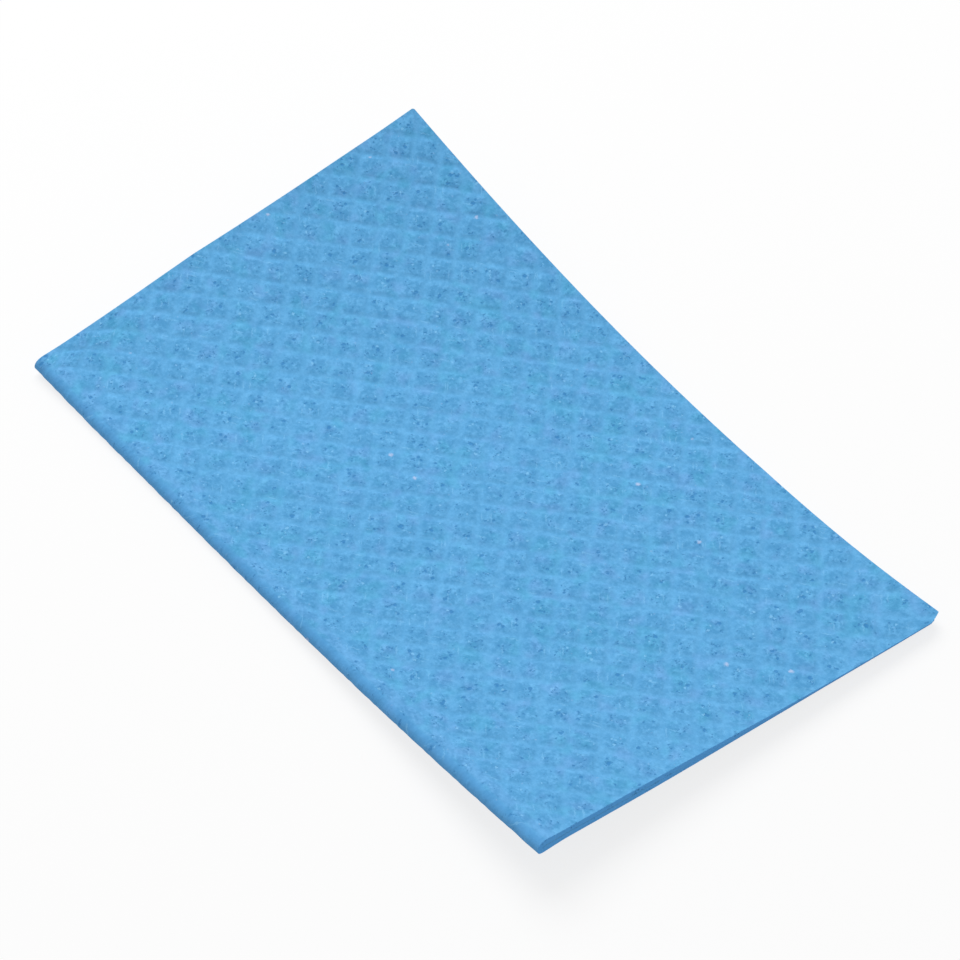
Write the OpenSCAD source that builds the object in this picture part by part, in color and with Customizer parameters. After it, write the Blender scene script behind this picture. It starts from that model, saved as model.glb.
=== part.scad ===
// Sponge cloth: one cellulose sheet embossed with square pads, folded once in half,
// with two opposite corners curled up. Lengths are in millimetres and angles in degrees.
//
// The sheet is laid out flat first, as a grid of points (x, v, h): x runs along
// the fold, v across the sheet with 0 on the fold line, and h is the height
// above the middle of the sheet, positive on its outer face. fold() wraps that
// grid round the fold, and curl() bends the folded cloth.

/* [Sheet] */
// Length of the sheet, along the fold
sheet_length = 260; // [160:1:400]
// Width of the sheet before it is folded in half
sheet_width = 310; // [180:1:460]
// Thickness of one leaf, measured over its pads
leaf = 2; // [1:0.1:4]
// Space left between the two leaves
leaf_gap = 0.3; // [0.1:0.05:1.5]
// How far the lower leaf is turned out of line with the upper one
lower_leaf_turn = 0.8; // [0:0.1:2]

/* [Emboss] */
// Distance between groove crossings along the fold
crossing_step_x = 13; // [8:0.1:26]
// Distance between groove crossings across the fold
crossing_step_y = 12.2; // [8:0.1:26]
// Width of a groove, from one pad to the next
groove_width = 2.9; // [1:0.1:4.5]
// Depth of the grooves between the pads
groove_depth = 0.6; // [0.1:0.05:0.9]

/* [Curl] */
// Angle between the fold and the strip that the cloth rests on
curl_angle = 50; // [30:1:65]
// Width of the flat strip that the cloth rests on
rest_strip = 26; // [10:1:80]
// Radius of the curl towards the free corner
free_corner_radius = 338; // [200:2:800]
// Radius of the curl towards the fold corner
fold_corner_radius = 645; // [200:5:1200]

/* [Hidden] */

// The fold: middle surface, and the flat length of half its bend
fold_radius = (leaf + leaf_gap) / 2;
half_bend = fold_radius * PI / 2;
leaf_length = sheet_width / 2 - half_bend;
fold_steps = 8;

// The grid: groove crossings and pad middles take turns on it, half a step apart
columns = 2 * round(sheet_length / crossing_step_x);
leaf_rows = round(2 * leaf_length / crossing_step_y);
rows = 2 * leaf_rows + fold_steps;
cell_side = crossing_step_x * crossing_step_y / norm([crossing_step_x, crossing_step_y]);
pad_share = 1 - groove_width / cell_side;

// The inner face is plain, so it has one column or leaf row for this many outer ones
inner_step = 4;

// Heights above the middle of the sheet
pad_h = leaf / 2;
groove_h = pad_h - groove_depth;
inner_h = -leaf / 2;

// The middle of the folded cloth, which the curl turns about
folded_middle_y = (leaf_length - fold_radius - pad_h) / 2;
underside_z = -(fold_radius + pad_h);

// ---- The flat sheet ----

// Rows count from the free edge of the upper leaf to that of the lower one.
function leaf_row(j) = min(j, rows - j);
function row_v(j) = let (k = leaf_row(j), side = j < rows / 2 ? 1 : -1)
    k <= leaf_rows
        ? side * (half_bend + leaf_length * (1 - k / leaf_rows))
        : half_bend * (1 - 2 * (j - leaf_rows) / fold_steps);
function column_x(i) = sheet_length * (i / columns - 0.5);

function is_inside(i, j) = i > 0 && i < columns && leaf_row(j) > 0 && leaf_row(j) < leaf_rows;
function is_crossing(i, j) = (i + leaf_row(j)) % 2 == 0;
function is_pad(i, j) = is_inside(i, j) && !is_crossing(i, j);

// The bend presses the grooves out flat.
function grid_h(i, j) = is_crossing(i, j) && leaf_row(j) <= leaf_rows ? groove_h : pad_h;

// ---- Folding and curling ----

function fold(x, v, h) = let (r = fold_radius + h)
    abs(v) <= half_bend
        ? let (a = 90 * v / half_bend) [x, -r * cos(a), r * sin(a)]
        : [x, abs(v) - half_bend, sign(v) * r];

// The turn of the lower leaf comes in round the bend.
function turn_lower(p) = let (share = min(1, max(0, 0.5 - p.z / (2 * fold_radius))),
        a = lower_leaf_turn * share)
    [p.x * cos(a) - p.y * sin(a), p.x * sin(a) + p.y * cos(a), p.z];

function turn_about_middle(p, a) = let (y = p.y - folded_middle_y)
    [p.x * cos(a) - y * sin(a), p.x * sin(a) + y * cos(a) + folded_middle_y, p.z];

// Beyond the rest strip, what lies across the strip climbs an arc.
function bend(p) = let (s = p.y - folded_middle_y, past = abs(s) - rest_strip / 2,
        radius = s > 0 ? free_corner_radius : fold_corner_radius, a = past / radius * 180 / PI)
    past <= 0 ? p : [
        p.x,
        folded_middle_y + sign(s) * (rest_strip / 2 + (radius - p.z) * sin(a)),
        radius - (radius - p.z) * cos(a)
    ];
function curl(p) = turn_about_middle(bend(turn_about_middle(p, -curl_angle)), curl_angle);
function place(x, v, h) = curl(turn_lower(fold(x, v, h))) - [0, 0, underside_z];

// ---- Points ----

// Outer face: the grid first, then four corners for each place that a pad can take
sides = [[1, 0], [0, 1], [-1, 0], [0, -1]];
grid_points = [for (j = [0:rows], i = [0:columns]) place(column_x(i), row_v(j), grid_h(i, j))];
pad_slots = columns / 2;
leaf_slots = (leaf_rows - 1) * pad_slots;
function pad_corner(i, j, side) = let (x = column_x(i), v = row_v(j))
    place(x + pad_share * side.x * sheet_length / columns,
          v + pad_share * (row_v(j + side.y) - v), pad_h);
pad_corners = [
    for (lower = [0, 1], k = [1:leaf_rows - 1], slot = [0:pad_slots - 1])
        let (j = lower == 0 ? k : rows - k, i = min(columns - 1, 2 * slot + (k % 2 == 0 ? 1 : 2)))
        for (side = sides) pad_corner(i, j, side)
];

inner_columns = [for (i = [0:columns]) if (i % inner_step == 0 || i == columns) i];
inner_rows = [for (j = [0:rows])
    if (leaf_row(j) % inner_step == 0 || leaf_row(j) >= leaf_rows) j];
inner_points = [for (j = inner_rows, i = inner_columns) place(column_x(i), row_v(j), inner_h)];

all_points = concat(grid_points, pad_corners, inner_points);
low = [for (axis = [0, 1]) min([for (p = all_points) p[axis]])];
high = [for (axis = [0, 1]) max([for (p = all_points) p[axis]])];
origin = [(low.x + high.x) / 2, (low.y + high.y) / 2, 0];
points = [for (p = all_points) p - origin];

// ---- Faces ----

function grid_at(i, j) = j * (columns + 1) + i;
function corner_at(i, j, side_no) = let (lower = j > rows / 2 ? 1 : 0, k = leaf_row(j))
    len(grid_points) + 4 * (lower * leaf_slots + (k - 1) * pad_slots + floor((i - 1) / 2)) + side_no;
function inner_at(column_no, row_no) =
    len(grid_points) + len(pad_corners) + row_no * len(inner_columns) + column_no;

function turned_over(faces) = [for (f = faces) [f[0], f[2], f[1]]];

// Half a grid square, from the groove between crossings c and d up to the pad on its
// right. The sides named are the pad's, towards c and towards d. A part pad that the
// sheet's edge or the fold cuts off has no corners, and slopes up to its grid point.
function half_square(c, d, pad, side_c, side_d) = let (
        from = grid_at(c.x, c.y),
        to = grid_at(d.x, d.y))
    is_pad(pad.x, pad.y)
        ? let (corner_c = corner_at(pad.x, pad.y, side_c), corner_d = corner_at(pad.x, pad.y, side_d))
            [[from, corner_c, corner_d], [from, corner_d, to]]
        : [[from, grid_at(pad.x, pad.y), to]];

// In a rising square the groove runs up to the right, and in a falling one to the left.
function square_faces(i, j) = is_crossing(i, j)
    ? concat(half_square([i, j], [i + 1, j + 1], [i + 1, j], 2, 1),
             half_square([i + 1, j + 1], [i, j], [i, j + 1], 0, 3))
    : concat(half_square([i, j + 1], [i + 1, j], [i, j], 1, 0),
             half_square([i + 1, j], [i, j + 1], [i + 1, j + 1], 3, 2));

function pad_faces(i, j) = let (corners = [for (n = [0:3]) corner_at(i, j, n)])
    [[corners[0], corners[1], corners[2]], [corners[0], corners[2], corners[3]]];

// The sheet's edge, between all the points of the outer face and the fewer of the inner one
function edge_faces(outer, met, inner) = [
    for (n = [0:len(met) - 2]) let (middle = floor((met[n] + met[n + 1]) / 2))
        for (f = concat([[outer[middle], inner[n + 1], inner[n]]],
                [for (m = [met[n]:met[n + 1] - 1])
                    [outer[m], outer[m + 1], inner[m < middle ? n : n + 1]]]))
            f
];
function long_edge(j, row_no) = edge_faces([for (i = [0:columns]) grid_at(i, j)], inner_columns,
    [for (n = [0:len(inner_columns) - 1]) inner_at(n, row_no)]);
function end_edge(i, column_no) = edge_faces([for (j = [0:rows]) grid_at(i, j)], inner_rows,
    [for (n = [0:len(inner_rows) - 1]) inner_at(column_no, n)]);

faces = [
    for (j = [0:rows - 1], i = [0:columns - 1]) each square_faces(i, j),
    for (j = [0:rows], i = [0:columns]) if (is_pad(i, j)) each pad_faces(i, j),
    for (n = [0:len(inner_rows) - 2], m = [0:len(inner_columns) - 2])
        each [[inner_at(m, n), inner_at(m, n + 1), inner_at(m + 1, n + 1)],
            [inner_at(m, n), inner_at(m + 1, n + 1), inner_at(m + 1, n)]],
    each long_edge(rows, len(inner_rows) - 1),
    each turned_over(long_edge(0, 0)),
    each end_edge(0, 0),
    each turned_over(end_edge(columns, len(inner_columns) - 1))
];

// The whole sheet is one piece
module cloth() {
    color("#62aadd") polyhedron(points = points, faces = faces);
}

cloth();
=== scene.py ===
# %% [markdown]
# # A folded sponge cloth
# A sponge cloth is a sheet of cellulose sponge, about 2 mm thick, with cotton fibres in it.
# The wet sheet is pressed between rollers, which leaves square pads between narrow grooves.
# It is dried, cut, and folded once in half. When dry it is stiff like card: it keeps a
# gentle curl, and its fold stays round. This script builds the sheet flat, works out how
# high each point of it rises and where the fold and the curl carry it, and gives it a
# sponge finish.

# %% Load the frame
import math

import bmesh
import bpy
from mathutils import Matrix, Vector, noise


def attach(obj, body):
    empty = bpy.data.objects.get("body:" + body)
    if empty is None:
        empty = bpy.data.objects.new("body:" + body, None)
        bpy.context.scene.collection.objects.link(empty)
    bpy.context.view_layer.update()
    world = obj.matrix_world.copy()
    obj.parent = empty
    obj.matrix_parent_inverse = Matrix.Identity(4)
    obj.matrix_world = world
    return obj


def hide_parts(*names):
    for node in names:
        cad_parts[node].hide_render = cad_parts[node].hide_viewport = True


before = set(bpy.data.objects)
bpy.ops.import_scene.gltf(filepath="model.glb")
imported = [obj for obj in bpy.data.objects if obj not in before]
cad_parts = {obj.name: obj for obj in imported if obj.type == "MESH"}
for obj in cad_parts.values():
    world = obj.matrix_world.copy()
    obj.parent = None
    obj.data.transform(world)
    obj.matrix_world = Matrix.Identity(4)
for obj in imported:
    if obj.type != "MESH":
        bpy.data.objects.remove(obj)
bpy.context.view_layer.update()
print("Solids in the frame:", sorted(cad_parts))

# %% [markdown]
# ## Sizes
# Real sizes are easiest to read in millimetres, so the sheet is worked out in millimetres
# and made metres at the end. Flat places are counted from the fold line: x runs along the
# fold, and v across it, with the upper leaf where v is positive.

# %% Sizes of the sheet, in millimetres
MILLIMETRE = 0.001
SHEET_LENGTH = 260.0
SHEET_WIDTH = 310.0
LEAF = 2.0
LEAF_GAP = 0.3
PAD_HEIGHT = LEAF / 2
FOLD_RADIUS = (LEAF + LEAF_GAP) / 2
HALF_THICKNESS = FOLD_RADIUS + PAD_HEIGHT
HALF_BEND = FOLD_RADIUS * math.pi / 2
LEAF_LENGTH = SHEET_WIDTH / 2 - HALF_BEND
print("Each leaf is", round(LEAF_LENGTH, 1), "mm from the bend to its free edge")
print("The folded cloth is", round(2 * HALF_THICKNESS, 1), "mm thick")

# %% [markdown]
# ## The embossed pattern
# The grooves run in two families, both aslant to the cut edges, and a pad lies in each
# square between them. It is handy to measure the sheet in grooves too: groove 0, 1, 2 of
# the first family and of the second. Whole numbers are then the middles of grooves, and
# halves are the middles of pads.

# %% From groove numbers to flat places and back
PAD_STEP = (12.96, 12.14)
FIRST_CROSSING = (-4.20, 3.34)


def flat_from_grooves():
    """The matrix that turns groove numbers into x and v."""
    half_x, half_v = PAD_STEP[0] / 2, PAD_STEP[1] / 2
    return Matrix((
        (half_x, half_x, 0, FIRST_CROSSING[0]),
        (-half_v, half_v, 0, FIRST_CROSSING[1]),
        (0, 0, 1, 0),
        (0, 0, 0, 1),
    ))


GROOVES_FROM_FLAT = flat_from_grooves().inverted()
pad_side = math.hypot(*PAD_STEP) / 2
print("A pad and its groove take", round(pad_side, 1), "mm")

# %% [markdown]
# ## The flat sheet
# The sheet could be a plain grid with a displacement modifier, but its faces would cut
# across the grooves and blur them. So the grid is made in groove numbers, with its lines
# moved to where a pad bends: the groove's floor, the foot, the shoulder and the top. The
# matrix then lays it aslant, and four cuts trim it to the sheet.

# %% Make a grid with nine lines to a pad
PAD_LINES = (0.0, 0.06, 0.13, 0.20, 0.38, 0.62, 0.80, 0.87, 0.94)
GRID_REACH = 24


def line_place(number):
    """Moves an evenly spaced line to its place in the pattern."""
    count = len(PAD_LINES)
    step = round(number * count)
    return step // count + PAD_LINES[step % count]


sheet = bmesh.new()
grid_lines = 2 * GRID_REACH * len(PAD_LINES)
bmesh.ops.create_grid(sheet, x_segments=grid_lines, y_segments=grid_lines, size=GRID_REACH)
for vert in sheet.verts:
    vert.co.x = line_place(vert.co.x)
    vert.co.y = line_place(vert.co.y)
bmesh.ops.transform(sheet, matrix=flat_from_grooves(), verts=sheet.verts)
print("The grid has", len(sheet.faces), "faces before it is cut")

# %% Cut the sheet to size
TOUCHING = 1e-4


def cut(parts, place, outward, trim=True):
    """Cuts parts of the sheet along a plane. Trimming takes away what lies outward of it."""
    bmesh.ops.bisect_plane(
        sheet, geom=parts, dist=TOUCHING, plane_co=place, plane_no=outward, clear_outer=trim,
    )


for direction, half_size in (
    ((1, 0, 0), SHEET_LENGTH / 2),
    ((-1, 0, 0), SHEET_LENGTH / 2),
    ((0, 1, 0), SHEET_WIDTH / 2),
    ((0, -1, 0), SHEET_WIDTH / 2),
):
    whole_sheet = sheet.verts[:] + sheet.edges[:] + sheet.faces[:]
    cut(whole_sheet, Vector(direction) * half_size, direction)
print("The cut sheet has", len(sheet.faces), "faces")

# %% [markdown]
# ## Corners
# A sponge sheet keeps no sharp tips. Three corners get a small round, made of cuts that touch
# it. The upper leaf's corner at the near end has two slanting cuts instead.

# %% Take the sharp tips off the corners
CORNER_ROUND = 0.9
ROUND_CUTS = (22.5, 45.0, 67.5)
UPPER_NEAR_CORNER_CUTS = ((26.0, 1.71), (12.0, 0.87))
TIP_REACH = 14.0


def with_edges(faces):
    """The faces, with all their edges and points."""
    parts = set(faces)
    for face in faces:
        parts.update(face.edges, face.verts)
    return list(parts)


def tip_cuts(side_x, side_y):
    """A corner's cuts: each one's direction in degrees, and its distance from the tip."""
    if (side_x, side_y) == (1, 1):
        return UPPER_NEAR_CORNER_CUTS
    cuts = []
    for degrees in ROUND_CUTS:
        angle = math.radians(degrees)
        cuts.append((degrees, CORNER_ROUND * (math.cos(angle) + math.sin(angle) - 1)))
    return cuts


for side_x, side_y in ((1, 1), (1, -1), (-1, 1), (-1, -1)):
    tip = Vector((side_x * SHEET_LENGTH / 2, side_y * SHEET_WIDTH / 2, 0))
    for degrees, inset in tip_cuts(side_x, side_y):
        angle = math.radians(degrees)
        outward = Vector((side_x * math.cos(angle), side_y * math.sin(angle), 0))
        near = [face for face in sheet.faces if (face.verts[0].co - tip).length < TIP_REACH]
        cut(with_edges(near), tip - outward * inset, outward)
print("With its tips off:", len(sheet.faces), "faces")

# %% [markdown]
# ## Lines for the bend
# The bend is only a few millimetres round, and the slanting grid is too coarse for it. A
# few straight cuts along the fold give it rows of its own.

# %% Cut rows along the fold
BEND_ROWS = 7
BEND_ROW = 0.45
ROW_REACH = 2.0

for row in range(-BEND_ROWS, BEND_ROWS + 1):
    row_v = row * BEND_ROW
    near = [face for face in sheet.faces if abs(face.calc_center_median().y - row_v) < ROW_REACH]
    cut(with_edges(near), (0, row_v, 0), (0, 1, 0), trim=False)
print("With rows for the bend:", len(sheet.faces), "faces")

# %% [markdown]
# ## Thickness
# Solidify would double the fine grid on the inside, where nobody sees it. Instead the cut
# edge is extruded down in a few steps, so that it can be rough, and a coarse grid closes
# the inside. A ring of triangles joins the two.

# %% Extrude the cut edges
EDGE_STEPS = (0.15, 0.45, 0.75, 0.77)
SHEET_DEPTH = sum(EDGE_STEPS)


def open_edges():
    return [edge for edge in sheet.edges if edge.is_boundary]


def sharpen(edges):
    for edge in edges:
        edge.smooth = False


rim = open_edges()
sharpen(rim)
for step in EDGE_STEPS:
    extruded = bmesh.ops.extrude_edge_only(sheet, edges=rim)["geom"]
    lower_verts = [part for part in extruded if isinstance(part, bmesh.types.BMVert)]
    bmesh.ops.translate(sheet, verts=lower_verts, vec=(0, 0, -step))
    rim = open_edges()
sharpen(rim)
print("The cut edge is", len(rim), "points round and", SHEET_DEPTH, "mm deep")

# %% Close the inside
INSET = 2.4
INNER_COLUMNS = 40
INNER_BEND_ROWS = 4
INNER_LEAF_ROWS = 24


def inner_row_place(number):
    """Crowds the rows of the inner grid into the bend."""
    rows = abs(round(number))
    if rows <= INNER_BEND_ROWS:
        return math.copysign(rows * HALF_BEND / INNER_BEND_ROWS, number)
    share = (rows - INNER_BEND_ROWS) / INNER_LEAF_ROWS
    return math.copysign(HALF_BEND + share * (LEAF_LENGTH - INSET), number)


inner_rows = INNER_BEND_ROWS + INNER_LEAF_ROWS
inner = bmesh.ops.create_grid(
    sheet, x_segments=INNER_COLUMNS, y_segments=2 * inner_rows, size=1,
    matrix=Matrix.Translation((0, 0, -SHEET_DEPTH)) @ Matrix.Diagonal(
        (SHEET_LENGTH / 2 - INSET, inner_rows, 1, 1)),
)
for vert in inner["verts"]:
    vert.co.y = inner_row_place(vert.co.y)
bmesh.ops.triangle_fill(sheet, edges=open_edges(), use_beauty=True)
bmesh.ops.recalc_face_normals(sheet, faces=sheet.faces)
print("Edges left open:", len([edge for edge in sheet.edges if not edge.is_manifold]))

# %% [markdown]
# ## Relief
# A pad is pressed like a small cushion: it rises from the groove with a soft shoulder and
# is a little crowned. The second family of grooves is pressed less deep than the first. No
# two pads are quite alike, because the sponge has pores of all sizes, so noise gives each
# pad its own height and keeps the grooves from being ruler-straight. Each noise reads a
# slice of its own, the third number of its place, and a seed keeps every run the same.

# %% How far the pattern rises
SHOULDER = 0.19
SECOND_GROOVES = 0.86
CROWN = 0.48
PAD_RISE = 0.70
PAD_RISE_OWN = 0.30
WANDER = 0.07
WANDER_SIZE = 6
WANDER_SEED = 1

noise.seed_set(WANDER_SEED)


def smooth_step(value, low, high):
    share = min(1, max(0, (value - low) / (high - low)))
    return share * share * (3 - 2 * share)


def from_groove(number):
    """How far a groove number is from the nearest groove, up to one half."""
    return abs(number - round(number))


def pattern_rise(x, v):
    """Share of the groove's depth that the pattern rises, 0 in a groove."""
    grooves = GROOVES_FROM_FLAT @ Vector((x, v, 0))
    wander = noise.noise_vector(Vector((x, v, 3)) / WANDER_SIZE) * WANDER
    first, second = from_groove(grooves.x + wander.x), from_groove(grooves.y + wander.y)
    rise = smooth_step(first, 0, SHOULDER)
    rise *= 1 - SECOND_GROOVES * (1 - smooth_step(second, 0, SHOULDER))
    crown = 16 * first * (1 - first) * second * (1 - second)
    own = noise.cell(Vector((math.floor(grooves.x), math.floor(grooves.y), 5)))
    return rise * (1 - CROWN + CROWN * crown) * (PAD_RISE + PAD_RISE_OWN * own)


# %% [markdown]
# The knife and the fold have pressed the relief down beside them, and a faint ridge stands
# along the fold on the upper leaf. At the near end the upper leaf is pinched thinner
# towards its free edge.

# %% How high the outer face is, in millimetres
GROOVE_DEPTH = 0.50
LUMPS = 0.10
LUMP_SIZE = 3.1
GRAIN = 0.06
GRAIN_SIZE = 1.1
ROUGH_WHERE_PRESSED = 0.3
EDGE_FADE = 3.0
EDGE_PRESSED = 0.1
FOLD_FADE = 9.0
KEPT_ON_FOLD = 0.3
FOLD_RIDGE = 0.25
FOLD_RIDGE_REACH = 10.0
PINCH = 0.15
PINCH_REACH = 3.5
PINCH_FROM = 0.30 * SHEET_WIDTH / 2
PINCH_FULL = 0.75 * SHEET_WIDTH / 2


def kept_relief(x, v):
    """Share of the relief that the knife and the fold have left."""
    to_edge = min(SHEET_LENGTH / 2 - abs(x), SHEET_WIDTH / 2 - abs(v))
    beside_fold = smooth_step(abs(v), HALF_BEND, HALF_BEND + FOLD_FADE)
    return smooth_step(to_edge, 0, EDGE_FADE) * (KEPT_ON_FOLD + (1 - KEPT_ON_FOLD) * beside_fold)


def roughness(x, v):
    lumps = LUMPS * noise.noise(Vector((x, v, 11)) / LUMP_SIZE)
    return lumps + GRAIN * noise.noise(Vector((x, v, 23)) / GRAIN_SIZE)


def fold_ridge(v):
    """Height of the ridge along the fold, on the upper leaf."""
    falling = 1 - smooth_step(abs(v), HALF_BEND, FOLD_RIDGE_REACH)
    return FOLD_RIDGE * falling * smooth_step(v, 0, HALF_BEND)


def pinch(x, v):
    """How much thinner the knife leaves the upper leaf at the near end."""
    towards_end = 1 - smooth_step(SHEET_LENGTH / 2 - x, 0, PINCH_REACH)
    return PINCH * smooth_step(v, PINCH_FROM, PINCH_FULL) * towards_end


def relief(x, v):
    """Height of the outer face over the middle of the sheet."""
    kept = kept_relief(x, v)
    rough = (ROUGH_WHERE_PRESSED + (1 - ROUGH_WHERE_PRESSED) * kept) * roughness(x, v)
    pads = PAD_HEIGHT - kept * GROOVE_DEPTH * (1 - pattern_rise(x, v)) + rough
    return pads - EDGE_PRESSED * (1 - kept) + fold_ridge(v) - pinch(x, v)


crossing_x, crossing_v = FIRST_CROSSING[0], FIRST_CROSSING[1] + 3 * PAD_STEP[1]
print("Groove crossing:", round(relief(crossing_x, crossing_v), 2), "mm")
print("Middle of a pad:", round(relief(crossing_x + PAD_STEP[0] / 2, crossing_v), 2), "mm")

# %% [markdown]
# ## Strays
# A real cloth is never a true rectangle. The knife has cut its ends and free edges a little
# askew, the near ends of the two leaves don't quite meet, and the fold bows in.

# %% Where the knife strays, in millimetres
STRAY_REACH = 14.0
NEAR_END_OUT = 0.7
UPPER_LEAF_OUT = 0.4
UPPER_LEAF_SPAN = (40, 110)
LOWER_LEAF_IN = 1.8
LEAVES_PART = ((0.25, 0, 12), (0.75, 35, 125))
NEAR_FOLD_CORNER_OUT = 2.2
NEAR_FOLD_CORNER_REACH = 90
FAR_FOLD_CORNER_IN = 4.4
FAR_FOLD_CORNER_REACH = 65
FAR_FOLD_CORNER_BEND = 1.15
FAR_FREE_CORNER_IN = 0.2
FAR_FREE_CORNER_SPAN = (120, 145)
UPPER_CORNER_OUT = 3.4
LOWER_CORNER_OUT = 1.6
FREE_EDGE_TRUE_TO = 60


def leaves_part(v):
    """Share of the step between the leaves' near ends, growing from fold to free edge."""
    return sum(share * smooth_step(abs(v), low, high) for share, low, high in LEAVES_PART)


def end_stray(x, v):
    """How far along x the cut ends lie from true, fading out into the sheet."""
    across = abs(v)
    if x > 0:
        stray = NEAR_END_OUT
        stray += NEAR_FOLD_CORNER_OUT * max(0, 1 - across / NEAR_FOLD_CORNER_REACH) ** 2
        stray += UPPER_LEAF_OUT * smooth_step(v, *UPPER_LEAF_SPAN)
        if v < 0:
            stray -= LOWER_LEAF_IN * leaves_part(v)
    else:
        to_corner = max(0, 1 - across / FAR_FOLD_CORNER_REACH)
        stray = FAR_FOLD_CORNER_IN * to_corner ** FAR_FOLD_CORNER_BEND
        stray += FAR_FREE_CORNER_IN * smooth_step(across, *FAR_FREE_CORNER_SPAN)
    return stray * smooth_step(abs(x), SHEET_LENGTH / 2 - STRAY_REACH, SHEET_LENGTH / 2)


def free_edge_stray(x, v):
    """How far along v the free edges stray out, near the near corner."""
    corner_out = UPPER_CORNER_OUT if v > 0 else LOWER_CORNER_OUT
    to_corner = max(0, x - FREE_EDGE_TRUE_TO) / (SHEET_LENGTH / 2 - FREE_EDGE_TRUE_TO)
    fading = smooth_step(abs(v), SHEET_WIDTH / 2 - STRAY_REACH, SHEET_WIDTH / 2)
    return math.copysign(corner_out * to_corner ** 2, v) * fading


print("The near end reaches", round(end_stray(SHEET_LENGTH / 2, 0), 1), "mm past true at the fold")

# %% [markdown]
# ## Fold and curl
# Cloth simulation suits fabric that hangs in soft folds. A dry sponge sheet isn't like
# that: it is stiff, it bends only where it is folded, and it springs back a little. So its
# shape is written as what it is, one bend and two gentle arcs, and each point of the flat
# sheet is carried to its place. The bend is fuller than a half circle, below more than
# above, and a hand has pressed it down along its length.

# %% Fold the sheet
FOLD_IN = 1.5
FOLD_IN_MOST_AT = -20
FOLD_IN_REACH = 135
FOLD_TURN = 0.0127
FOLD_PRESSED = 0.24
PRESSED_REACH = 4.0
FULLNESS_ABOVE = 0.85
FULLNESS_BELOW = 0.60


def fold_stray(x):
    """How far in from true the fold lies."""
    return FOLD_IN * (1 - ((x - FOLD_IN_MOST_AT) / FOLD_IN_REACH) ** 2) + FOLD_TURN * x


def pressed(y):
    """Share of the thickness that pressing the fold takes away there."""
    share = min(1, max(0, (y + HALF_THICKNESS) / PRESSED_REACH))
    return FOLD_PRESSED * (1 - share) ** 2


def fold(x, v, height):
    """The folded place of a flat place, about the middle of the fold."""
    past = abs(v) - HALF_BEND
    radius = FOLD_RADIUS + height
    if past <= 0:
        angle = math.pi / 2 * v / HALF_BEND
        power = FULLNESS_BELOW if angle < 0 else FULLNESS_ABOVE
        y, z = -radius * max(0, math.cos(angle)) ** power, radius * math.sin(angle)
    else:
        y, z = past, math.copysign(radius, v)
    z = (z + HALF_THICKNESS) * (1 - pressed(y)) - HALF_THICKNESS
    y += fold_stray(x) * (1 - smooth_step(y, 0, STRAY_REACH))
    return Vector((x, y, z))


# %% [markdown]
# The cloth lies on a strip across its middle, aslant to the fold. Beyond it, the two
# corners on either side rise along arcs, the one on the fold more gently. The frame has its
# origin under the middle of the solid, at the level that it rests on.

# %% Curl two corners
CURL_ANGLE = math.radians(50)
REST_STRIP = 26.0
FREE_CORNER_RADIUS = 338.0
FOLD_CORNER_RADIUS = 645.0
FOLDED_MIDDLE = Vector((0, (LEAF_LENGTH - HALF_THICKNESS) / 2, 0))
FRAME_ORIGIN = Vector((-0.412, 75.711, -HALF_THICKNESS))


def curl(place):
    """Bends the folded cloth up on both sides of the strip that it rests on."""
    turned = Matrix.Rotation(-CURL_ANGLE, 3, "Z") @ (place - FOLDED_MIDDLE)
    past = abs(turned.y) - REST_STRIP / 2
    if past > 0:
        radius = FREE_CORNER_RADIUS if turned.y > 0 else FOLD_CORNER_RADIUS
        angle = past / radius
        reach = REST_STRIP / 2 + (radius - turned.z) * math.sin(angle)
        turned = Vector((
            turned.x, math.copysign(reach, turned.y),
            radius - (radius - turned.z) * math.cos(angle),
        ))
    return Matrix.Rotation(CURL_ANGLE, 3, "Z") @ turned + FOLDED_MIDDLE


def place_in_frame(x, v, height):
    return (curl(fold(x, v, height)) - FRAME_ORIGIN) * MILLIMETRE


# %% [markdown]
# ## Cut edges
# The knife leaves a face that is rough and never quite square. At the near end it leans in
# under the upper leaf, and the lower leaf's face carries on from there, so that the two
# make one slanting face across the step between their ends. Like the step, the lean grows
# beside the fold, and again towards the free corner.

# %% Carry every point of the flat sheet to its place
EDGE_ROUGH = 0.10
EDGE_ROUGH_SIZE = 1.7
INNER_HEIGHT = LEAF / 2 - SHEET_DEPTH

flat_place = sheet.verts.layers.float_vector.new("flat_place")
groove_place = sheet.verts.layers.float_vector.new("groove_place")


def edge_roughness(along, depth, seed):
    """How far a point of a cut face lies out of it, fading to its two rims."""
    uneven = EDGE_ROUGH * noise.noise(Vector((along, depth, seed)) / EDGE_ROUGH_SIZE)
    return uneven * math.sin(math.pi * depth / SHEET_DEPTH)


def cut_edge_shift(x, v, depth):
    """How far a point of a cut edge moves along x and v."""
    shift_x, shift_v = 0.0, 0.0
    if SHEET_LENGTH / 2 - abs(x) < INSET:
        shift_x = edge_roughness(v, depth, 31)
        if x > 0:
            lean = LOWER_LEAF_IN / 2 * depth / SHEET_DEPTH * leaves_part(v)
            shift_x -= math.copysign(lean, v)
    if SHEET_WIDTH / 2 - abs(v) < INSET:
        shift_v = edge_roughness(x, depth, 37)
    return shift_x, shift_v


for vert in sheet.verts:
    x, v, depth = vert.co.x, vert.co.y, -vert.co.z
    outer_height = relief(x, v)
    height = outer_height + (INNER_HEIGHT - outer_height) * depth / SHEET_DEPTH
    shift_x, shift_v = cut_edge_shift(x, v, depth)
    vert[flat_place] = (x, v, height)
    vert[groove_place] = GROOVES_FROM_FLAT @ Vector((x, v, 0))
    shift_x += end_stray(x, v)
    shift_v += free_edge_stray(x, v)
    vert.co = place_in_frame(x + shift_x, v + shift_v, height)

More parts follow.
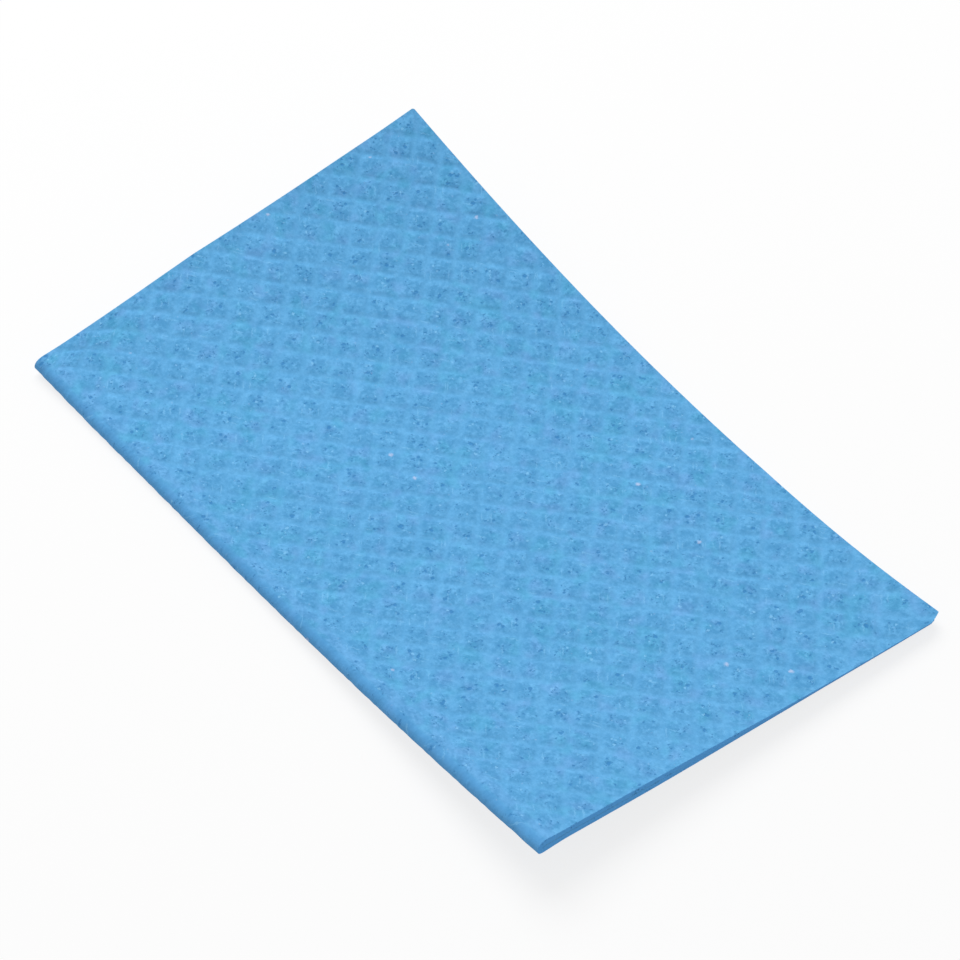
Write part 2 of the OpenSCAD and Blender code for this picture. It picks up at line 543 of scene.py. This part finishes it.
for face in sheet.faces:
    face.smooth = True
print("Triangles:", sum(len(face.verts) - 2 for face in sheet.faces))

# %% Make the piece
def add_object(name, data):
    """A new object in the scene, at the origin."""
    thing = bpy.data.objects.new(name, data)
    bpy.context.scene.collection.objects.link(thing)
    return thing


def add_mesh_object(name, shape):
    """A new object with the shape as its mesh. The shape is freed."""
    mesh = bpy.data.meshes.new(name)
    shape.to_mesh(mesh)
    shape.free()
    return add_object(name, mesh)


cloth = add_mesh_object("sponge_cloth", sheet)
print("The cloth measures", [round(side / MILLIMETRE, 1) for side in cloth.dimensions], "mm")

# %% [markdown]
# ## The sponge finish
# Cellulose sponge is matt and dyed right through. Its pads are open, with small dark pores,
# and its grooves are pressed smooth, so they look a little lighter. Here and there a pale
# cotton fibre or fleck lies in it. The pattern follows the sheet, so the nodes read the
# flat places that were kept on each point, in millimetres.

# %% Helpers for nodes
WHITE = (1.0, 1.0, 1.0, 1.0)
SCREEN_MOST = 255


class Nodes:
    """Adds nodes to a material or a world, each with its inputs filled in or linked."""

    def __init__(self, owner):
        owner.use_nodes = True
        self.nodes = owner.node_tree.nodes
        self.links = owner.node_tree.links
        self.nodes.clear()

    def fill(self, socket, value):
        if isinstance(value, bpy.types.NodeSocket):
            self.links.new(value, socket)
        else:
            socket.default_value = value

    def add(self, kind, inputs=None, **settings):
        node = self.nodes.new(kind)
        for key, value in settings.items():
            setattr(node, key, value)
        for key, value in (inputs or {}).items():
            self.fill(node.inputs[key], value)
        return node

    def math(self, operation, *values):
        return self.add("ShaderNodeMath", dict(enumerate(values)), operation=operation).outputs[0]

    def plus(self, first, second):
        return self.math("ADD", first, second)

    def minus(self, first, second):
        return self.math("SUBTRACT", first, second)

    def times(self, first, second):
        return self.math("MULTIPLY", first, second)

    def larger(self, first, second):
        return self.math("MAXIMUM", first, second)

    def vector(self, operation, *values):
        inputs = dict(enumerate(values))
        return self.add("ShaderNodeVectorMath", inputs, operation=operation).outputs[0]

    def attribute(self, name):
        return self.add("ShaderNodeAttribute", attribute_name=name).outputs["Vector"]

    def split(self, vector):
        """The X, Y and Z of a vector."""
        return self.add("ShaderNodeSeparateXYZ", {"Vector": vector}).outputs

    def channels(self, colour):
        """The Red, Green and Blue of a colour."""
        return self.add("ShaderNodeSeparateColor", {"Color": colour}).outputs

    def noise(self, place, scale, detail=2.0, roughness=0.5):
        return self.add("ShaderNodeTexNoise", {
            "Vector": place, "Scale": scale, "Detail": detail, "Roughness": roughness,
        }).outputs

    def drift(self, place, scale, reach, **settings):
        """A vector that wanders about zero, with reach as its whole spread."""
        colour = self.noise(place, scale, **settings)["Color"]
        return self.vector("MULTIPLY", self.vector("SUBTRACT", colour, (0.5, 0.5, 0.5)), reach)

    def ramp(self, value, low, high, out_low=0.0, out_high=1.0):
        return self.add("ShaderNodeMapRange", {
            "Value": value, "From Min": low, "From Max": high,
            "To Min": out_low, "To Max": out_high,
        }, interpolation_type="SMOOTHSTEP").outputs["Result"]

    def mix(self, factor, first, second):
        node = self.add("ShaderNodeMix", data_type="RGBA")
        for name, value in (("Factor_Float", factor), ("A_Color", first), ("B_Color", second)):
            self.fill(next(i for i in node.inputs if i.identifier == name), value)
        return next(o for o in node.outputs if o.identifier == "Result_Color")


def linear(*screen_colour):
    """A colour as seen on a screen, 0 to 255, as Blender's light values."""
    shares = [value / SCREEN_MOST for value in screen_colour]
    curve = [s / 12.92 if s <= 0.04045 else ((s + 0.055) / 1.055) ** 2.4 for s in shares]
    return (*curve, 1.0)


# %% Tell pads from grooves
GROOVE_DRIFT = (0.34, 0.34, 0.0)
GROOVE_DRIFTS_PER_MM = 0.20
PAD_SPAN = (0.03, 0.31)

sponge_material = bpy.data.materials.new("cellulose_sponge")
sponge = Nodes(sponge_material)
place = sponge.attribute("flat_place")
grooves = sponge.attribute("groove_place")

drift = sponge.drift(place, GROOVE_DRIFTS_PER_MM, GROOVE_DRIFT, detail=3.0, roughness=0.6)
wandering = sponge.vector("ADD", grooves, drift)
groove_numbers = sponge.split(wandering)
from_groove_line = sponge.math(
    "MINIMUM",
    sponge.math("PINGPONG", groove_numbers["X"], 0.5),
    sponge.math("PINGPONG", groove_numbers["Y"], 0.5),
)
middle = sponge.ramp(from_groove_line, *PAD_SPAN)
pad_number = sponge.vector("FLOOR", wandering)
own = sponge.add("ShaderNodeTexWhiteNoise", {"Vector": pad_number}).outputs["Value"]

# %% [markdown]
# Pores, specks, flecks and fibres are all spots in the cells of a Voronoi pattern. Each
# cell draws a number, and those above `rarest` get a spot, the larger the higher it is.
# The place is made ragged first, so that no spot is a true circle.

# %% Open the pores
RAGGED = (1.3, 1.3, 1.3)
RAGGED_PER_MM = 1.3
CLUSTERS_PER_MM = 0.28
CLUSTER_SPAN = (0.34, 0.60)
OPEN_LEAST = 0.25
SMALL_PORES_PER_MM = 1.3
LARGE_PORES_PER_MM = 0.55
SPECKS_PER_MM = 0.85
PORE_RIM = (-0.06, 0.16)


def spots(cells, draw, rarest, reach, rim, share=None):
    """Spots in Voronoi cells, 0 outside and 1 inside, their rims as soft as rim is wide."""
    size = sponge.ramp(draw, rarest, 1.0, 0.0, reach)
    if share is not None:
        size = sponge.times(size, share)
    return sponge.ramp(sponge.minus(size, cells["Distance"]), *rim)


def cells_and_draws(place, scale, dimensions="3D"):
    cells = sponge.add("ShaderNodeTexVoronoi", {
        "Vector": place, "Scale": scale,
    }, voronoi_dimensions=dimensions).outputs
    return cells, sponge.channels(cells["Color"])


def pores(per_mm, rarest, reach):
    """Holes of mixed sizes, more of them where the sponge is open."""
    cells, draws = cells_and_draws(ragged_place, per_mm)
    return spots(cells, draws["Red"], rarest, reach, PORE_RIM, share=open_here)


ragged_place = sponge.vector("ADD", place, sponge.drift(place, RAGGED_PER_MM, RAGGED))
cluster = sponge.noise(place, CLUSTERS_PER_MM)["Fac"]
open_here = sponge.times(sponge.ramp(cluster, *CLUSTER_SPAN), middle)
open_here = sponge.ramp(open_here, 0.0, 1.0, OPEN_LEAST, 1.0)

small_pores = pores(SMALL_PORES_PER_MM, rarest=0.45, reach=0.50)
large_pores = pores(LARGE_PORES_PER_MM, rarest=0.40, reach=0.50)
specks = pores(SPECKS_PER_MM, rarest=0.80, reach=0.52)
pits = sponge.larger(small_pores, large_pores)
spacings = [round(1 / per_mm, 1) for per_mm in (SMALL_PORES_PER_MM, LARGE_PORES_PER_MM)]
print("Pores are spaced", spacings, "mm apart")

# %% [markdown]
# The dye is never even. Fine grain and a wider mottle make it lighter and darker, least in
# the smooth grooves, and each pad has a tone of its own. Wider patches lean to violet or to
# green, and so does the crest beside the fold, to violet. The bend is painted darker: this is
# painted shade, for the shade on the round of the fold. The cut faces get a painted shade
# colour, bluer and brighter than the dye, for the deep blue that shade gives them.

# %% Grain, and how light the dye is
GRAINS_PER_MM = 0.8
MOTTLES_PER_MM = 0.30
PATCHES_PER_MM = 0.14
MOTTLE = 0.65
USUAL_LIGHT = 0.91
GROOVE_CONTRAST = 0.55
PAD_DARKER = 0.015
PAD_DARKER_OWN = 0.06
PATCH_LIGHTER = 0.16
LIGHT_SPAN = (-0.26, 0.36)

grain = sponge.noise(place, GRAINS_PER_MM, detail=2.5, roughness=0.62)["Fac"]
mottle = sponge.noise(place, MOTTLES_PER_MM, detail=3.0, roughness=0.6)["Fac"]
patches = sponge.channels(sponge.noise(place, PATCHES_PER_MM, detail=1.0)["Color"])

light = sponge.math("MULTIPLY_ADD", mottle, MOTTLE, grain)
light = sponge.minus(light, USUAL_LIGHT)
light = sponge.times(light, sponge.ramp(middle, 0.0, 1.0, GROOVE_CONTRAST, 1.0))
pad_darker = sponge.math("MULTIPLY_ADD", own, PAD_DARKER_OWN, PAD_DARKER)
light = sponge.minus(light, sponge.times(middle, pad_darker))
light = sponge.math("MULTIPLY_ADD", patches["Blue"], PATCH_LIGHTER, light)
light = sponge.ramp(light, *LIGHT_SPAN)

# %% Dye, with the painted shade colours of the bend and the cut faces
DYE = (96, 171, 223)
DYE_VIOLET = (104, 170, 225)
DYE_GREENISH = (90, 172, 219)
# Painted shade: the cut faces' colour is bluer and brighter than the dye, for the deep blue that
# shade gives them.
CUT_FACE_SHADE_COLOUR = (90, 173, 242)
# Painted shade: the bend is painted darker, for the shade on the round of the fold.
FOLD_PAINTED_SHADE = (84, 157, 216)
GRAIN_CONTRAST = 16
PATCH_SPAN = (0.50, 0.76)
CREST_STARTS = (2.2, 3.4)
CREST_ENDS = (8.5, 5.0)
CREST_VIOLET = 0.6
FOLD_SPAN = (1.2, 3.4)
FOLD_SHADE_SHARE = 0.7
CUT_BELOW = (0.40, 0.10)
CUT_ABOVE = (-1.09, -0.98)
CUT_FACE = (0.03, 0.01)


def grained(dye):
    """A dye, from its darker to its lighter shade."""
    darker = linear(*(value - GRAIN_CONTRAST for value in dye))
    lighter = linear(*(value + GRAIN_CONTRAST for value in dye))
    return sponge.mix(light, darker, lighter)


flat = sponge.split(place)
from_middle = sponge.math("ABSOLUTE", flat["X"])
from_fold = sponge.math("ABSOLUTE", flat["Y"])

crest = sponge.times(sponge.ramp(from_fold, *CREST_STARTS), sponge.ramp(from_fold, *CREST_ENDS))
violet_patch = sponge.ramp(patches["Red"], *PATCH_SPAN)
violet_here = sponge.larger(violet_patch, sponge.times(crest, CREST_VIOLET))
green_here = sponge.ramp(patches["Green"], *PATCH_SPAN)
fold_shade_here = sponge.ramp(from_fold, *FOLD_SPAN, FOLD_SHADE_SHARE, 0.0)

# Where the cut faces get their painted shade colour.
cut_face_shade_here = sponge.ramp(flat["Z"], *CUT_BELOW)
for distance, edge in ((from_middle, SHEET_LENGTH / 2), (from_fold, SHEET_WIDTH / 2)):
    on_face = sponge.ramp(distance, edge - CUT_FACE[0], edge - CUT_FACE[1])
    cut_face_shade_here = sponge.larger(cut_face_shade_here, on_face)
cut_face_shade_here = sponge.times(cut_face_shade_here, sponge.ramp(flat["Z"], *CUT_ABOVE))

colour = sponge.mix(violet_here, grained(DYE), grained(DYE_VIOLET))
colour = sponge.mix(green_here, colour, grained(DYE_GREENISH))
# Paint the shade on the bend.
colour = sponge.mix(fold_shade_here, colour, linear(*FOLD_PAINTED_SHADE))
# Paint the shade colour on the cut faces.
colour = sponge.mix(cut_face_shade_here, colour, linear(*CUT_FACE_SHADE_COLOUR))

# %% Pores, specks, fibres and flecks
DYE_DEEP = (52, 128, 190)
DYE_PALE = (138, 205, 248)
FLECK = (190, 206, 240)
PITS_SHOW = 0.72
SPECKS_SHOW = 0.60
HAIRS_SHOW = 0.38
FLECKS_SHOW = 0.75
FLECKS_PER_MM = 0.075
FIBRES_PER_MM = (0.09, 0.9, 0.0)
FIBRE_TURNS = (38, -35)


def fibres(degrees):
    """Short pale hairs, all lying one way, 0 beside them and 1 on them."""
    turned = sponge.add("ShaderNodeVectorRotate", {
        "Vector": ragged_place, "Angle": math.radians(degrees),
    }).outputs["Vector"]
    cells, draws = cells_and_draws(sponge.vector("MULTIPLY", turned, FIBRES_PER_MM), 1.0, "2D")
    return spots(cells, draws["Red"], rarest=0.80, reach=0.22, rim=(-0.02, 0.14))


cells, draws = cells_and_draws(ragged_place, FLECKS_PER_MM, "2D")
flecks = spots(cells, draws["Green"], rarest=0.88, reach=0.055, rim=(-0.03, 0.04))
hairs = sponge.larger(*(fibres(degrees) for degrees in FIBRE_TURNS))

for spot, shown, shade in (
    (pits, PITS_SHOW, DYE_DEEP),
    (specks, SPECKS_SHOW, DYE_PALE),
    (hairs, HAIRS_SHOW, DYE_PALE),
    (flecks, FLECKS_SHOW, FLECK),
):
    colour = sponge.mix(sponge.times(spot, shown), colour, linear(*shade))

# %% Roughen it, and join it all
RUGGED_EVERYWHERE = 0.16
RUGGED_PAD = 0.08
RUGGED_PAD_OWN = 0.12
CRUMBLE = 0.25
PAD_EDGE = (0.22, 0.31)
PAD_EDGE_HEIGHT = 0.05
PIT_DEPTH = 0.14
FLECK_HEIGHT = 0.075

rugged = sponge.times(middle, sponge.math("MULTIPLY_ADD", own, RUGGED_PAD_OWN, RUGGED_PAD))
surface = sponge.times(grain, sponge.plus(rugged, RUGGED_EVERYWHERE))
crumbled = sponge.math("MULTIPLY_ADD", grain, CRUMBLE, from_groove_line)
pad_edge = sponge.ramp(crumbled, *PAD_EDGE)
surface = sponge.plus(surface, sponge.times(pad_edge, PAD_EDGE_HEIGHT))
surface = sponge.minus(surface, sponge.times(pits, PIT_DEPTH))
surface = sponge.plus(surface, sponge.times(flecks, FLECK_HEIGHT))
bump = sponge.add("ShaderNodeBump", {
    "Height": surface, "Strength": 0.7, "Distance": MILLIMETRE,
})
shader = sponge.add("ShaderNodeBsdfPrincipled", {
    "Base Color": colour, "Roughness": 0.92, "Specular IOR Level": 0.2,
    "Sheen Weight": 0.04, "Sheen Roughness": 0.6, "Normal": bump.outputs["Normal"],
})
sponge.add("ShaderNodeOutputMaterial", {"Surface": shader.outputs["BSDF"]})
cloth.data.materials.append(sponge_material)
print("The sponge finish has", len(sponge.nodes), "nodes")

# %% Say what the piece is
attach(cloth, "root")
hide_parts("cloth")

# %% [markdown]
# ## The floor
# A plain pale floor. To the camera it is brightened to white, and to the cloth it stays
# a pale surface that throws light back up. The cloth's shadow stays on it.

# %% Make the floor
FLOOR_SIZE = 12.0
FLOOR_SHADE = 0.80
FLOOR_SHADE_SEEN = 0.18
FLOOR_TO_WHITE = 0.80

floor_shape = bmesh.new()
bmesh.ops.create_grid(floor_shape, x_segments=1, y_segments=1, size=FLOOR_SIZE / 2)
floor = add_mesh_object("floor", floor_shape)

pale_material = bpy.data.materials.new("pale_floor")
pale = Nodes(pale_material)
seen = pale.add("ShaderNodeLightPath").outputs["Is Camera Ray"]
shade = pale.ramp(seen, 0.0, 1.0, FLOOR_SHADE, FLOOR_SHADE_SEEN)
diffuse = pale.add("ShaderNodeBsdfDiffuse", {"Color": shade}).outputs["BSDF"]
glow = pale.add("ShaderNodeEmission", {
    "Color": WHITE, "Strength": pale.times(seen, FLOOR_TO_WHITE),
}).outputs["Emission"]
both = pale.add("ShaderNodeAddShader", {0: diffuse, 1: glow}).outputs["Shader"]
pale.add("ShaderNodeOutputMaterial", {"Surface": both})
floor.data.materials.append(pale_material)
print("The floor is", FLOOR_SIZE, "m wide")

# %% [markdown]
# ## The camera
# It looks down on the near end and the fold from a good metre away, through a long lens.

# %% Place the camera
CAMERA_PLACE = Vector((590.08, -449.80, 813.69)) * MILLIMETRE
CAMERA_FORWARD = Vector((-0.53527, 0.41331, -0.73665))
CAMERA_ROLL = math.radians(0.126)
LENS = 132.0
SENSOR = 36.0

camera_data = bpy.data.cameras.new("camera")
camera_data.lens = LENS
camera_data.sensor_width = SENSOR
camera = add_object("camera", camera_data)
camera.location = CAMERA_PLACE
level = CAMERA_FORWARD.to_track_quat("-Z", "Y").to_matrix()
camera.rotation_euler = (level @ Matrix.Rotation(CAMERA_ROLL, 3, "Z")).to_euler()
bpy.context.scene.camera = camera
print("The camera is", round(CAMERA_PLACE.length, 2), "m from the middle of the cloth")

# %% [markdown]
# ## The light
# A large soft lamp hangs over the cloth, a little towards its far side, so the near side of
# each pad is a shade darker. The sky fills in the rest. To the camera and in reflections
# the sky is white.

# %% Hang the lamp and light the sky
LAMP_FAR = 0.60
LAMP_LEFT = 0.20
LAMP_DISTANCE = 2.2
LAMP_SIZE = 2.0
LAMP_WATTS = 41.0
SKY_STRENGTH = 0.42

far = Vector((CAMERA_FORWARD.x, CAMERA_FORWARD.y, 0)).normalized()
left = Vector((-CAMERA_FORWARD.y, CAMERA_FORWARD.x, 0)).normalized()
lamp_data = bpy.data.lights.new("softbox", "AREA")
lamp_data.shape = "DISK"
lamp_data.size = LAMP_SIZE
lamp_data.energy = LAMP_WATTS
lamp = add_object("softbox", lamp_data)
to_lamp = (Vector((0, 0, 1)) + far * LAMP_FAR + left * LAMP_LEFT).normalized()
lamp.location = to_lamp * LAMP_DISTANCE
lamp.rotation_euler = to_lamp.to_track_quat("Z", "Y").to_euler()

sky = bpy.data.worlds.new("sky")
bpy.context.scene.world = sky
air = Nodes(sky)
rays = air.add("ShaderNodeLightPath").outputs
shown = air.larger(rays["Is Camera Ray"], rays["Is Glossy Ray"])
background = air.add("ShaderNodeBackground", {
    "Color": WHITE, "Strength": air.ramp(shown, 0.0, 1.0, SKY_STRENGTH, 1.0),
})
air.add("ShaderNodeOutputWorld", {"Surface": background.outputs["Background"]})
bpy.context.scene.view_settings.view_transform = "Standard"
print("The lamp hangs at", [round(n, 2) for n in lamp.location], "m")
